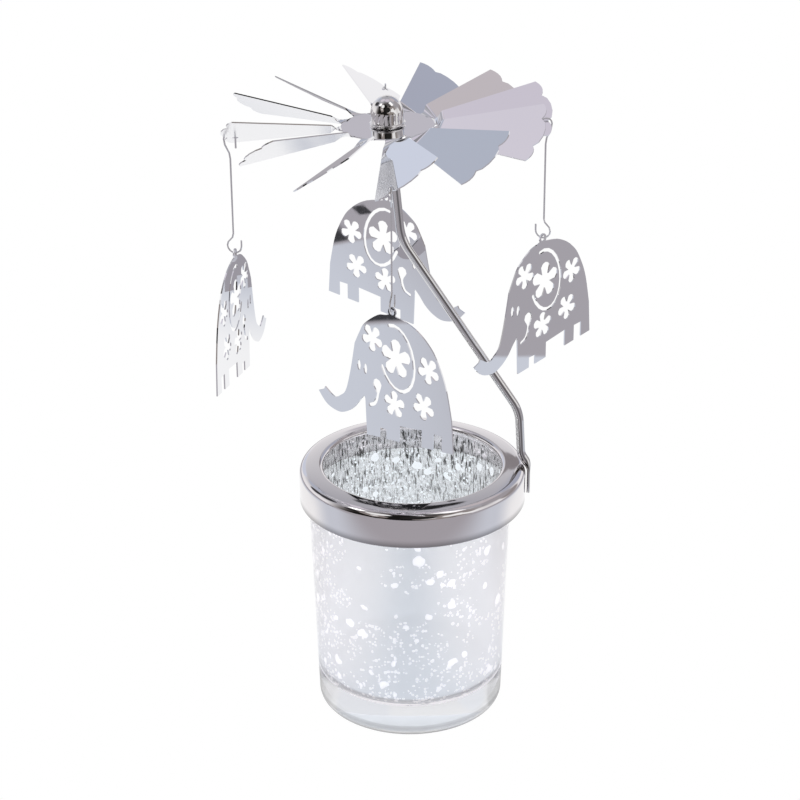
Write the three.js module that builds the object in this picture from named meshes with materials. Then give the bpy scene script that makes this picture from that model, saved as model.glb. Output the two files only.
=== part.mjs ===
// Rotating candle holder: a glass cup, a metal collar with a bent mast, and a fan wheel that
// turns on the point of the mast and carries four pierced elephants on bent wires.
// Millimetres, +Z up. The origin is the middle of the cup's underside.

import * as THREE from "three";

// Fits
const SEAT_GAP = 0.3; // between pieces that touch or turn on each other

// Glass cup
const CUP_HEIGHT = 66.5;
const CUP_FOOT_RADIUS = 24.2; // the outer wall carried down to the table
const CUP_RIM_RADIUS = 26.3;
const CUP_WALL = 2.4;
const CUP_BASE = 8;
const CUP_FOOT_ROUND = 1.7;
const CUP_FLOOR_ROUND = 4;
const CUP_SIDES = 52;

// Collar ring, drawn from sheet
const RING_SHEET = 0.7;
const RING_PLAY = 2.1; // between the cup's rim and the inside of the skirt
const RING_COVER = 3.4; // the top covers the rim and a little of the cup's mouth
const RING_SHOULDER = 2.2;
const RING_SKIRT = 9.2; // from the flat of the top down to the skirt's edge
const RING_RISE = 0.6; // the top climbs this much from the shoulder to the opening
const RING_CURL = 1.2; // outer radius of the edge that curls down into the opening
const RING_SHIFT = 0.75; // the collar is wider than the rim and lies to one side by this much
const RING_SIDES = 56;

// Mast, bent from one rod
const MAST_RADIUS = 1.1;
const MAST_SET_IN = 1.3; // the upright stands this far inside the skirt's outer face
const MAST_FOOT_THICKNESS = 1;
const MAST_FOOT_WIDTH = 4;
const MAST_FOOT_LENGTH = 8.4; // from the flat of the collar's top down
const MAST_CROSSING = 3.4; // how far the bends over the shoulder reach
const MAST_UPRIGHT_LEAN = 0.6; // the upright leans in by this much up to the lower bend
const MAST_LOWER_BEND_RISE = 14.7; // above the collar's top
const MAST_UPPER_BEND_RISE = 61.2;
const MAST_UPPER_BEND_X = -1.8;
const MAST_BEND_LENGTH = 4; // from a bend's corner to where its curve ends
const MAST_POINT_LENGTH = 5.2;
const MAST_POINT_RADIUS = 0.05;
const MAST_SIDES = 12;

// Fan wheel, stamped from one sheet
const FAN_X = -5; // the wheel turns beside the cup's axis
const FAN_RISE = 90.1; // middle of the sheet above the collar's top
const FAN_LEAN = 1.9; // degrees, the wheel hangs a little low on the left
const FAN_TURN = 6.84; // degrees, middle line of blade 0 from +X
const FAN_SHEET = 0.3;
const FAN_DISC_RADIUS = 11.3;
const BLADE_COUNT = 12;
const BLADE_TIP_RADIUS = 38.5; // at the corners
const BLADE_ROOT_RADIUS = 14.2;
const BLADE_HALF_ANGLE = 12.9; // degrees
const BLADE_TWIST = 32.8; // degrees
const BLADE_NOTCH_INSET = 0.3; // from the corners' radius in to the notches
const BLADE_LOBE = 1.8; // the middle lobe stands this far over the notches
const BLADE_NOTCH_ASIDE = 4.05;
const BLADE_CORNER_BULGE = 0.9;
const NECK_HALF_WIDTH = 1.7;
const NECK_STEPS = 7;
const BLADE_RISES = [3.1, 0.3, 0.3, 1.2, 2.8, 5.3, 2.2, 2.8, -1, -2.8, 1.6, 3.4]; // degrees, bent by hand
const HANGER_BLADES = [0, 3, 6, 9];
const HANGER_HOLE_RADIUS = 0.75;
const HANGER_HOLE_INSET = 1.8; // from the notch in along the blade

// Bearing cap
const CAP_RADIUS = 4;
const CAP_HEIGHT = 7.4; // above the sheet's middle
const CAP_STRAIGHT = 3.1; // height where the dome begins
const CAP_FLANGE_RADIUS = 4.35;
const CAP_FLANGE_THICKNESS = 0.5;
const CAP_NECK_RADIUS = 2.9;
const CAP_FLARE_RADIUS = 3.9;
const CAP_BORE_RADIUS = 2.2;
const CAP_BORE_HEIGHT = 3;
const CAP_DIMPLE_HEIGHT = 4.6; // the point of the mast bears in this
const CAP_SIDES = 24;

// Hanger wires. Their crook stands in the plane of the wheel's axis, their hook is turned from it.
const WIRE_RADIUS = 0.22;
const WIRE_DROP = 29.5; // from the blade's hole to the lug
const WIRE_END_DROP = 2.8; // from the hole to the wire's upper end
const WIRE_SET_OUT = 1.4; // from the hole out to the straight
const CROOK_RADIUS = 1.4;
const CROOK_SINK = 0.45; // the middle of the crook's arch lies this far under the hole
const CROOK_LENGTH = 5; // from the arch's middle down to the straight
const HOOK_RADIUS = 1.85;
const HOOK_SET_IN = 0.2; // from the straight in to the lug
const HOOK_NECK_HEIGHT = 4.9;
const HOOK_TIP_HEIGHT = 3.4;
const HOOK_TURN = -20; // degrees
const WIRE_SIDES = 6;

// Elephants, cut from sheet. Plate coordinates: x towards the tail, y up, from the lug's hole.
const ELEPHANT_SHEET = 0.35;
const LUG_RADIUS = 1.25;
const LUG_HOLE_RADIUS = 0.75;
const LUG_HOLE_DROP = 0.15; // the hole's middle under the middle of the wire
const FEET_HEIGHT = -32.6; // below the lug
const FEET_SLOPE = 0.13; // the soles climb towards the tail
const LEGS = [[-8.5, -4.4], [-2.1, 2], [9.3, 12.8], [15.6, 19.1]]; // left and right side of each
const ELEPHANT_BACK = [[4.8, -1.4], [8.4, -2.8], [11.3, -4.9], [13.7, -7.7], [16.6, -13.7], [18.5, -21.9]];
const ELEPHANT_HEAD = [[-10.6, -7.8], [-8.9, -5.1], [-4.8, -2], [-1.8, -1.1]];
const TRUNK_UNDER = [
  [-10.6, -25.3], [-12.4, -27.6], [-14.8, -29.5], [-17.9, -30.6], [-21.9, -29.7], [-24.7, -27],
];
const TRUNK_OVER = [[-19.4, -27.1], [-17.3, -26.1], [-15.4, -24.1], [-13.7, -18.3], [-12.2, -11]];
const DROP_LINE = [[-5, -19.6], [-4.8, -21.3], [-5.1, -23.2], [-5.9, -24.8], [-7.4, -25.6]];
const DROP_RADIUS = 1.45;
const EYES = [[-10.9, -16.3], [-8.8, -16.7]];
const EYE_HALF_WIDTH = 0.6;
const EYE_HALF_HEIGHT = 1.4;
const EAR_MIDDLE = [1.4, -11.2];
const EAR_HALF_WIDTH = 5.45;
const EAR_HALF_HEIGHT = 8.1;
const EAR_TILT = 12; // degrees
const EAR_ENDS = [98, -165]; // degrees round the ear's ellipse
const LEG_GAP_TOPS = [[-30.5, -30.4], [-28.2, -27], [-26.8, -26.6]]; // left and right of each gap
const SLOT_WIDTH = 0.9;
const FLOWER_PETALS = 5;
const FLOWER_DENT = 0.4; // share of the radius left at a dent
const BIG_FLOWER_RADIUS = 4.85;
const SMALL_FLOWER_RADIUS = 3.45;
const FLOWERS_UP = [[1.1, -11.3, BIG_FLOWER_RADIUS], [0.5, -23.1, SMALL_FLOWER_RADIUS]];
const FLOWERS_DOWN = [[-6.5, -8.2], [11.3, -11.4], [9.8, -20.9]];
const ELEPHANT_NAMES = ["right", "back", "left", "front"];
const ELEPHANT_TURNS = [45.7, 35.1, 13.8, 45]; // degrees that each one's tail stands out from the rim

const RING_RADIUS = CUP_RIM_RADIUS + RING_PLAY + RING_SHEET;
const RING_OPENING = CUP_RIM_RADIUS - RING_COVER; // radius of the hole over the cup
const RING_TOP = CUP_HEIGHT + SEAT_GAP + RING_SHEET; // flat of the collar's top, at the shoulder
const SKIRT_FACE = RING_SHIFT + RING_RADIUS; // the skirt's outer face on the mast's side
const FAN_HEIGHT = RING_TOP + FAN_RISE;
const BLADE_NOTCH_OUT = BLADE_TIP_RADIUS - BLADE_NOTCH_INSET;
const HANGER_HOLE_OUT = BLADE_NOTCH_OUT - HANGER_HOLE_INSET;
const POINT_RISE = CAP_DIMPLE_HEIGHT - SEAT_GAP; // tip of the mast above the fan's sheet
const UP = new THREE.Vector3(0, 0, 1);
const radians = THREE.MathUtils.degToRad;
const lerp = THREE.MathUtils.lerp;
const smoothstep = THREE.MathUtils.smoothstep;

// Materials

const glass = new THREE.MeshStandardMaterial({ color: 0xdfe6ea, roughness: 0.1, metalness: 0.1 });
const satinSteel = new THREE.MeshStandardMaterial({ color: 0xb4b1b2, roughness: 0.35, metalness: 1 });
const polishedSteel = new THREE.MeshStandardMaterial({ color: 0xc6c4c4, roughness: 0.12, metalness: 1 });
const mirrorSheet = new THREE.MeshStandardMaterial({ color: 0xc9c9d0, roughness: 0.08, metalness: 1 });
const wireSteel = new THREE.MeshStandardMaterial({ color: 0xa9a9ab, roughness: 0.25, metalness: 1 });

// Helpers

function named(name, geometry, material) {
  const mesh = new THREE.Mesh(geometry, material);
  mesh.name = name;
  return mesh;
}

// A profile of radius and height turned about Z.
function revolve(path, sides, roundSteps) {
  return new THREE.LatheGeometry(path.getPoints(roundSteps), sides).rotateX(Math.PI / 2);
}

// A flat plate cut to a shape, its middle plane on Z = 0.
function plate(shape, thickness, roundSteps) {
  const options = { depth: thickness, bevelEnabled: false, curveSegments: roundSteps };
  return new THREE.ExtrudeGeometry(shape, options).translate(0, 0, -thickness / 2);
}

// A closed skin over rings that all have the same number of points.
function loft(rings) {
  const sides = rings[0].length;
  const triangles = [];
  for (let i = 0; i + 1 < rings.length; i++) {
    for (let j = 0; j < sides; j++) {
      const here = i * sides + j;
      const next = i * sides + ((j + 1) % sides);
      triangles.push(here, next, next + sides, here, next + sides, here + sides);
    }
  }
  const last = (rings.length - 1) * sides;
  for (let j = 1; j + 1 < sides; j++) {
    triangles.push(0, j + 1, j);
    triangles.push(last, last + j, last + j + 1);
  }
  return new THREE.BufferGeometry().setFromPoints(rings.flat()).setIndex(triangles);
}

// A sheet of even thickness over a surface of triangles, closed by walls along every open edge.
function thickened(points, normals, triangles, thickness) {
  const below = points.length;
  const skins = [0.5, -0.5].flatMap((share) =>
    points.map((point, i) => point.clone().addScaledVector(normals[i], share * thickness)));
  const sidesOf = ([a, b, c]) => [[a, b], [b, c], [c, a]];
  const sides = new Set(triangles.flatMap(sidesOf).map(String));
  const index = [];
  for (const triangle of triangles) {
    const [a, b, c] = triangle;
    index.push(a, b, c, below + c, below + b, below + a);
    for (const [from, to] of sidesOf(triangle)) {
      if (!sides.has(String([to, from]))) {
        index.push(from, below + from, below + to, from, below + to, to);
      }
    }
  }
  return new THREE.BufferGeometry().setFromPoints(skins).setIndex(index);
}

// Triangles over a flat outline with holes, all facing up. They count through the outline's points
// and then through those of each hole.
function triangulated(outline, holes) {
  const all = [outline, ...holes].flat();
  return THREE.ShapeUtils.triangulateShape(outline, holes).map((triangle) => {
    const facesUp = THREE.ShapeUtils.area(triangle.map((i) => all[i])) > 0;
    return facesUp ? triangle : triangle.toReversed();
  });
}

// A rod bent in the XZ plane; the path's x and y are X and Z. halfWidths takes the length so far
// and the whole length and gives the half thickness in the plane and the half width across it.
function bentRod(path, roundSteps, sides, halfWidths) {
  const line = path.getPoints(roundSteps);
  const lengths = [0];
  for (let i = 1; i < line.length; i++) {
    lengths.push(lengths[i - 1] + line[i].distanceTo(line[i - 1]));
  }
  const rings = line.map((point, i) => {
    const before = line[Math.max(i - 1, 0)];
    const after = line[Math.min(i + 1, line.length - 1)];
    const along = after.clone().sub(before).normalize();
    const [thick, wide] = halfWidths(lengths[i], lengths.at(-1));
    return Array.from({ length: sides }, (_, j) => {
      const angle = (2 * Math.PI * j) / sides;
      const aside = thick * Math.cos(angle);
      return new THREE.Vector3(
        point.x + along.y * aside,
        wide * Math.sin(angle),
        point.y - along.x * aside,
      );
    });
  });
  return loft(rings);
}

// Carries a path round a corner to a next point, up to where the next corner's curve starts.
function bendTowards(path, corner, next, bendLength) {
  const start = path.currentPoint.clone().sub(corner).setLength(bendLength).add(corner);
  const end = next.clone().sub(corner).setLength(bendLength).add(corner);
  path.lineTo(start.x, start.y);
  path.quadraticCurveTo(corner.x, corner.y, end.x, end.y);
}

// Glass cup: tapered wall, thick base, rounded foot and rim

function glassCup() {
  const outerAt = (z) => lerp(CUP_FOOT_RADIUS, CUP_RIM_RADIUS, z / CUP_HEIGHT);
  const rimRound = CUP_WALL / 2;
  const rimHeight = CUP_HEIGHT - rimRound;
  const floorRadius = outerAt(CUP_BASE) - CUP_WALL;
  const wallStart = CUP_BASE + CUP_FLOOR_ROUND;
  const profile = new THREE.Path().moveTo(0, 0);
  profile.lineTo(CUP_FOOT_RADIUS - CUP_FOOT_ROUND, 0);
  profile.quadraticCurveTo(CUP_FOOT_RADIUS, 0, outerAt(CUP_FOOT_ROUND), CUP_FOOT_ROUND);
  profile.lineTo(CUP_RIM_RADIUS, rimHeight);
  profile.absarc(CUP_RIM_RADIUS - rimRound, rimHeight, rimRound, 0, Math.PI, false);
  profile.lineTo(outerAt(wallStart) - CUP_WALL, wallStart);
  profile.quadraticCurveTo(floorRadius, CUP_BASE, floorRadius - CUP_FLOOR_ROUND, CUP_BASE);
  profile.lineTo(0, CUP_BASE);
  return named("glass_cup", revolve(profile, CUP_SIDES, 3), glass);
}

// Collar ring: top that climbs a little and curls into the opening, rounded shoulder, straight skirt

function collarRing() {
  const bend = RING_RADIUS - RING_SHOULDER;
  const bendHeight = RING_TOP - RING_SHOULDER;
  const skirtEdge = RING_TOP - RING_SKIRT;
  const inside = RING_RADIUS - RING_SHEET;
  const lip = RING_TOP + RING_RISE;
  const curlMiddle = RING_OPENING + RING_CURL;
  const curlHeight = lip - RING_CURL;
  const profile = new THREE.Path().moveTo(RING_OPENING + RING_SHEET, curlHeight);
  profile.absarc(curlMiddle, curlHeight, RING_CURL - RING_SHEET, Math.PI, Math.PI / 2, true);
  profile.lineTo(bend, RING_TOP - RING_SHEET);
  profile.absarc(bend, bendHeight, RING_SHOULDER - RING_SHEET, Math.PI / 2, 0, true);
  profile.lineTo(inside, skirtEdge);
  profile.lineTo(RING_RADIUS, skirtEdge);
  profile.lineTo(RING_RADIUS, bendHeight);
  profile.absarc(bend, bendHeight, RING_SHOULDER, 0, Math.PI / 2, false);
  profile.lineTo(curlMiddle, lip);
  profile.absarc(curlMiddle, curlHeight, RING_CURL, Math.PI / 2, Math.PI, false);
  profile.closePath();
  const ring = named("collar_ring", revolve(profile, RING_SIDES, 2), satinSteel);
  ring.position.x = RING_SHIFT;
  return ring;
}

// Mast: flattened foot on the skirt, over the shoulder, upright, long slant, point under the cap

function mastPath() {
  const footX = SKIRT_FACE + SEAT_GAP + MAST_FOOT_THICKNESS / 2;
  const uprightX = SKIRT_FACE - MAST_SET_IN;
  const bendHeight = RING_TOP - RING_SHOULDER;
  const uprightStart = RING_TOP + 2 * RING_SHOULDER;
  const lower = new THREE.Vector2(uprightX - MAST_UPRIGHT_LEAN, RING_TOP + MAST_LOWER_BEND_RISE);
  const upper = new THREE.Vector2(MAST_UPPER_BEND_X, RING_TOP + MAST_UPPER_BEND_RISE);
  const point = new THREE.Vector2(FAN_X, FAN_HEIGHT + POINT_RISE);
  const pointStart = upper.clone().sub(point).setLength(MAST_POINT_LENGTH).add(point);
  const path = new THREE.Path().moveTo(footX, RING_TOP - MAST_FOOT_LENGTH);
  path.lineTo(footX, RING_TOP - MAST_FOOT_LENGTH + MAST_FOOT_WIDTH / 2);
  path.lineTo(footX, bendHeight);
  path.bezierCurveTo(
    footX, bendHeight + MAST_CROSSING,
    uprightX, uprightStart - MAST_CROSSING,
    uprightX, uprightStart,
  );
  bendTowards(path, lower, upper, MAST_BEND_LENGTH);
  bendTowards(path, upper, point, MAST_BEND_LENGTH);
  path.lineTo(pointStart.x, pointStart.y);
  path.lineTo(point.x, point.y);
  return path;
}

function mast() {
  const footStraight = MAST_FOOT_LENGTH - RING_SHOULDER;
  const halfWidths = (length, whole) => {
    const round = smoothstep(length, footStraight, footStraight + MAST_CROSSING);
    const foot = lerp(0.5, 1, smoothstep(length, 0, MAST_FOOT_WIDTH / 2));
    const taper = Math.min(1, (whole - length) / MAST_POINT_LENGTH);
    const thick = lerp(MAST_FOOT_THICKNESS / 2, MAST_RADIUS, round) * taper;
    const wide = lerp(foot * MAST_FOOT_WIDTH / 2, MAST_RADIUS, round) * taper;
    return [Math.max(thick, MAST_POINT_RADIUS), Math.max(wide, MAST_POINT_RADIUS)];
  };
  return named("mast", bentRod(mastPath(), 7, MAST_SIDES, halfWidths), polishedSteel);
}

// Fan wheel: a disc with twelve blades, each twisted at its neck, with a three-lobed end

function bladeShape(withHole) {
  const half = radians(BLADE_HALF_ANGLE);
  const cornerOut = BLADE_TIP_RADIUS * Math.cos(half);
  const cornerAside = BLADE_TIP_RADIUS * Math.sin(half);
  const rootOut = BLADE_ROOT_RADIUS * Math.cos(half);
  const rootAside = BLADE_ROOT_RADIUS * Math.sin(half);
  const lobeOut = BLADE_NOTCH_OUT + BLADE_LOBE / 0.75;
  const cornerLobe = (BLADE_NOTCH_OUT + cornerOut) / 2 + 2 * BLADE_CORNER_BULGE;
  const cornerMiddle = (cornerAside + BLADE_NOTCH_ASIDE) / 2;
  const shape = new THREE.Shape().moveTo(rootOut, -rootAside);
  shape.lineTo(cornerOut, -cornerAside);
  shape.quadraticCurveTo(cornerLobe, -cornerMiddle, BLADE_NOTCH_OUT, -BLADE_NOTCH_ASIDE);
  shape.bezierCurveTo(
    lobeOut, -BLADE_NOTCH_ASIDE * 0.8,
    lobeOut, BLADE_NOTCH_ASIDE * 0.8,
    BLADE_NOTCH_OUT, BLADE_NOTCH_ASIDE,
  );
  shape.quadraticCurveTo(cornerLobe, cornerMiddle, cornerOut, cornerAside);
  shape.lineTo(rootOut, rootAside);
  if (withHole) {
    const hole = new THREE.Path();
    hole.absarc(HANGER_HOLE_OUT, -BLADE_NOTCH_ASIDE, HANGER_HOLE_RADIUS, 0, 2 * Math.PI, false);
    shape.holes.push(hole);
  }
  return shape;
}

// Stations along a neck, from the disc to the blade's root: distance out, half width and twist.
function neckStations() {
  const start = Math.sqrt(FAN_DISC_RADIUS ** 2 - NECK_HALF_WIDTH ** 2);
  const half = radians(BLADE_HALF_ANGLE);
  const end = BLADE_ROOT_RADIUS * Math.cos(half);
  const stations = [];
  for (let i = 0; i <= NECK_STEPS; i++) {
    const eased = smoothstep(i / NECK_STEPS, 0, 1);
    stations.push({
      out: lerp(start, end, i / NECK_STEPS),
      aside: lerp(NECK_HALF_WIDTH, BLADE_ROOT_RADIUS * Math.sin(half), eased ** 2),
      twist: radians(BLADE_TWIST) * eased,
    });
  }
  return stations;
}

// Takes a blade's own frame (x out, y across, z through the sheet before the twist) to the wheel's.
function bladeMatrix(index) {
  const azimuth = radians(FAN_TURN + (360 / BLADE_COUNT) * index);
  const hinge = neckStations()[0].out;
  const matrix = new THREE.Matrix4().makeRotationZ(azimuth);
  matrix.multiply(new THREE.Matrix4().makeTranslation(hinge, 0, 0));
  matrix.multiply(new THREE.Matrix4().makeRotationY(-radians(BLADE_RISES[index])));
  return matrix.multiply(new THREE.Matrix4().makeTranslation(-hinge, 0, 0));
}

function fanWheel() {
  const points = [];
  const normals = [];
  const triangles = [];
  const addPoint = (matrix, out, aside, twist) => {
    const across = new THREE.Vector3(0, Math.cos(twist), Math.sin(twist));
    points.push(new THREE.Vector3(out, 0, 0).addScaledVector(across, aside).applyMatrix4(matrix));
    normals.push(new THREE.Vector3(0, -Math.sin(twist), Math.cos(twist)).transformDirection(matrix));
    return points.length - 1;
  };
  const addTriangles = (outline, holes, numbers) => {
    triangulated(outline, holes).forEach((triangle) => triangles.push(triangle.map((i) => numbers[i])));
  };

  const flat = new THREE.Matrix4();
  const discRim = [];
  for (let i = 0; i < BLADE_COUNT; i++) {
    const matrix = bladeMatrix(i);
    const pairs = neckStations().map(({ out, aside, twist }) => [
      addPoint(matrix, out, -aside, twist),
      addPoint(matrix, out, aside, twist),
    ]);
    for (let j = 0; j + 1 < pairs.length; j++) {
      const [low, high] = pairs[j];
      const [nextLow, nextHigh] = pairs[j + 1];
      triangles.push([low, nextLow, nextHigh], [low, nextHigh, high]);
    }
    const { shape, holes } = bladeShape(HANGER_BLADES.includes(i)).extractPoints(5);
    const [rootLow, rootHigh] = pairs.at(-1);
    const onBlade = (point) => addPoint(matrix, point.x, point.y, radians(BLADE_TWIST));
    const edge = shape.slice(1, -1).map(onBlade);
    addTriangles(shape, holes, [rootLow, ...edge, rootHigh, ...holes.flat().map(onBlade)]);
    const rimTurn = radians(FAN_TURN + (360 / BLADE_COUNT) * (i + 0.5));
    const rimPoint = addPoint(new THREE.Matrix4().makeRotationZ(rimTurn), FAN_DISC_RADIUS, 0, 0);
    discRim.push(...pairs[0], rimPoint);
  }

  const hubHole = new THREE.Path().absarc(0, 0, CAP_NECK_RADIUS + SEAT_GAP, 0, 2 * Math.PI, false);
  const hubEdge = hubHole.getPoints(12);
  const hubNumbers = hubEdge.map((point) => addPoint(flat, point.x, point.y, 0));
  const rimOutline = discRim.map((i) => new THREE.Vector2(points[i].x, points[i].y));
  addTriangles(rimOutline, [hubEdge], [...discRim, ...hubNumbers]);
  return named("fan_wheel", thickened(points, normals, triangles, FAN_SHEET), mirrorSheet);
}

// Bearing cap: a bullet-shaped dome on the sheet, its neck through the hole and flared under it

function bearingCap() {
  const seat = FAN_SHEET / 2 + SEAT_GAP;
  const flangeTop = seat + CAP_FLANGE_THICKNESS;
  const profile = new THREE.Path().moveTo(0, CAP_DIMPLE_HEIGHT);
  profile.lineTo(CAP_BORE_RADIUS, CAP_BORE_HEIGHT);
  profile.lineTo(CAP_BORE_RADIUS, -seat - CAP_FLANGE_THICKNESS);
  profile.lineTo(CAP_FLARE_RADIUS, -seat - CAP_FLANGE_THICKNESS);
  profile.lineTo(CAP_FLARE_RADIUS, -seat);
  profile.lineTo(CAP_NECK_RADIUS, -seat);
  profile.lineTo(CAP_NECK_RADIUS, seat);
  profile.lineTo(CAP_FLANGE_RADIUS, seat);
  profile.lineTo(CAP_FLANGE_RADIUS, flangeTop);
  profile.lineTo(CAP_RADIUS, flangeTop);
  profile.lineTo(CAP_RADIUS, CAP_STRAIGHT);
  profile.absellipse(0, CAP_STRAIGHT, CAP_RADIUS, CAP_HEIGHT - CAP_STRAIGHT, 0, Math.PI / 2, false, 0);
  return named("bearing_cap", revolve(profile, CAP_SIDES, 4), polishedSteel);
}

// The wheel and its cap lean together about the point of the mast.
function wheelMatrix() {
  const matrix = new THREE.Matrix4().makeTranslation(FAN_X, 0, FAN_HEIGHT + POINT_RISE);
  matrix.multiply(new THREE.Matrix4().makeRotationY(-radians(FAN_LEAN)));
  return matrix.multiply(new THREE.Matrix4().makeTranslation(0, 0, -POINT_RISE));
}

// Hanger wires: a crook over the blade's edge, a straight, and an open hook turned about the straight

function wirePath() {
  const hookX = WIRE_SET_OUT - HOOK_SET_IN;
  const hookHeight = -WIRE_DROP + HOOK_RADIUS;
  const neckHeight = -WIRE_DROP + HOOK_NECK_HEIGHT;
  const crookOut = 2 * CROOK_RADIUS;
  const path = new THREE.Path().moveTo(0, -WIRE_END_DROP);
  path.lineTo(0, -CROOK_SINK);
  path.absarc(CROOK_RADIUS, -CROOK_SINK, CROOK_RADIUS, Math.PI, 0, true);
  path.bezierCurveTo(
    crookOut, -CROOK_SINK - CROOK_LENGTH / 2,
    WIRE_SET_OUT, -CROOK_SINK - CROOK_LENGTH / 2,
    WIRE_SET_OUT, -CROOK_SINK - CROOK_LENGTH,
  );
  path.lineTo(WIRE_SET_OUT, neckHeight);
  path.bezierCurveTo(
    WIRE_SET_OUT, (neckHeight + hookHeight) / 2,
    hookX + HOOK_RADIUS, (neckHeight + hookHeight) / 2,
    hookX + HOOK_RADIUS, hookHeight,
  );
  path.absarc(hookX, hookHeight, HOOK_RADIUS, 0, -Math.PI, true);
  path.lineTo(hookX - HOOK_RADIUS, -WIRE_DROP + HOOK_TIP_HEIGHT);
  return path;
}

function hangerWire(name) {
  const geometry = bentRod(wirePath(), 4, WIRE_SIDES, () => [WIRE_RADIUS, WIRE_RADIUS]);
  const position = geometry.getAttribute("position");
  const vertex = new THREE.Vector3();
  for (let i = 0; i < position.count; i++) {
    vertex.fromBufferAttribute(position, i);
    if (vertex.z < -WIRE_DROP / 2) {
      vertex.x -= WIRE_SET_OUT;
      vertex.applyAxisAngle(UP, radians(HOOK_TURN));
      vertex.x += WIRE_SET_OUT;
      position.setXYZ(i, vertex.x, vertex.y, vertex.z);
    }
  }
  return named(`hanger_wire_${name}`, geometry, wireSteel);
}

// Elephants: one plate with a lug, pierced with flowers, an ear line, eyes and a drop

function flower(x, y, radius, upward, petalSteps) {
  const steps = FLOWER_PETALS * petalSteps;
  const first = upward ? Math.PI / 2 : -Math.PI / 2;
  const points = [];
  for (let i = 0; i < steps; i++) {
    const angle = (2 * Math.PI * i) / steps;
    const petal = Math.sqrt(Math.abs(Math.cos((FLOWER_PETALS / 2) * angle)));
    const out = radius * lerp(FLOWER_DENT, 1, petal);
    const turn = first + angle;
    points.push(new THREE.Vector2(x + out * Math.cos(turn), y + out * Math.sin(turn)));
  }
  return new THREE.Path(points);
}

// A slot along a curve with round ends. halfWidthAt takes 0 at the curve's start to 1 at its end.
function slot(curve, steps, halfWidthAt) {
  const edge = (share, angle) => {
    const along = curve.getTangent(share);
    const offset = along.rotateAround(new THREE.Vector2(), angle).multiplyScalar(halfWidthAt(share));
    return curve.getPoint(share).add(offset);
  };
  const right = [];
  const left = [];
  for (let i = 0; i <= steps; i++) {
    right.push(edge(i / steps, -Math.PI / 2));
    left.unshift(edge(i / steps, Math.PI / 2));
  }
  const endRound = [-Math.PI / 4, 0, Math.PI / 4].map((angle) => edge(1, angle));
  const startRound = [3 * Math.PI / 4, Math.PI, -3 * Math.PI / 4].map((angle) => edge(0, angle));
  return new THREE.Path([...right, ...endRound, ...left, ...startRound]);
}

function vectors(pairs) {
  return pairs.map(([x, y]) => new THREE.Vector2(x, y));
}

function elephantOutline() {
  const soleAt = (x) => FEET_HEIGHT + FEET_SLOPE * x;
  const shape = new THREE.Shape();
  shape.absarc(0, 0, LUG_RADIUS, radians(220), radians(-40), true);
  shape.splineThru(vectors(ELEPHANT_BACK));
  for (let i = LEGS.length - 1; i >= 0; i--) {
    const [left, right] = LEGS[i];
    shape.lineTo(right, soleAt(right));
    shape.lineTo(left, soleAt(left));
    if (i > 0) {
      const [gapLeft, gapRight] = LEG_GAP_TOPS[i - 1];
      shape.lineTo(left, gapRight);
      shape.lineTo(LEGS[i - 1][1], gapLeft);
    }
  }
  shape.lineTo(-8.9, -24.5);
  shape.lineTo(-9.2, -23.7);
  shape.splineThru(vectors(TRUNK_UNDER));
  shape.lineTo(-22.9, -26.2);
  shape.lineTo(-22.5, -25.4);
  shape.splineThru(vectors(TRUNK_OVER));
  shape.splineThru(vectors(ELEPHANT_HEAD));
  return shape;
}

function elephantGeometry() {
  const shape = elephantOutline();
  for (const [x, y, radius] of FLOWERS_UP) {
    shape.holes.push(flower(x, y, radius, true, 6));
  }
  for (const [x, y] of FLOWERS_DOWN) {
    shape.holes.push(flower(x, y, SMALL_FLOWER_RADIUS, false, 6));
  }
  const [earStart, earEnd] = EAR_ENDS.map(radians);
  const ear = new THREE.EllipseCurve(
    ...EAR_MIDDLE, EAR_HALF_WIDTH, EAR_HALF_HEIGHT, earStart, earEnd, true, radians(EAR_TILT));
  shape.holes.push(slot(ear, 16, () => SLOT_WIDTH / 2));
  const drop = new THREE.SplineCurve(vectors(DROP_LINE));
  const dropHalfWidth = (share) => lerp(DROP_RADIUS, SLOT_WIDTH / 2, smoothstep(share, 0, 0.35));
  shape.holes.push(slot(drop, 9, dropHalfWidth));
  for (const [x, y] of EYES) {
    const eye = new THREE.Path();
    shape.holes.push(eye.absellipse(x, y, EYE_HALF_WIDTH, EYE_HALF_HEIGHT, 0, 2 * Math.PI, false, 0));
  }
  shape.holes.push(new THREE.Path().absarc(0, 0, LUG_HOLE_RADIUS, 0, 2 * Math.PI, false));
  return plate(shape, ELEPHANT_SHEET, 4).rotateX(Math.PI / 2);
}

// Where a hanger's hole lies: the turn about the wheel's axis, the distance from it and the height.
function hangerSpot(blade) {
  const hole = new THREE.Vector3(HANGER_HOLE_OUT, -BLADE_NOTCH_ASIDE, 0);
  hole.applyAxisAngle(new THREE.Vector3(1, 0, 0), radians(BLADE_TWIST));
  hole.applyMatrix4(bladeMatrix(blade)).applyMatrix4(wheelMatrix());
  const turn = Math.atan2(hole.y, hole.x - FAN_X);
  const out = Math.hypot(hole.x - FAN_X, hole.y);
  return { turn, out, height: hole.z };
}

function hangerWithElephant(index) {
  const name = ELEPHANT_NAMES[index];
  const spot = hangerSpot(HANGER_BLADES[index]);
  const hanger = new THREE.Group();
  hanger.position.set(FAN_X, 0, spot.height);
  hanger.rotation.z = spot.turn;
  const wire = hangerWire(name);
  wire.position.x = spot.out;
  const elephant = named(`elephant_${name}`, elephantGeometry(), mirrorSheet);
  const hookIn = new THREE.Vector3(-HOOK_SET_IN, 0, 0).applyAxisAngle(UP, radians(HOOK_TURN));
  elephant.position.set(spot.out + WIRE_SET_OUT + hookIn.x, hookIn.y, -WIRE_DROP - LUG_HOLE_DROP);
  elephant.rotation.z = radians(90 - ELEPHANT_TURNS[index]);
  return hanger.add(wire, elephant);
}

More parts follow.
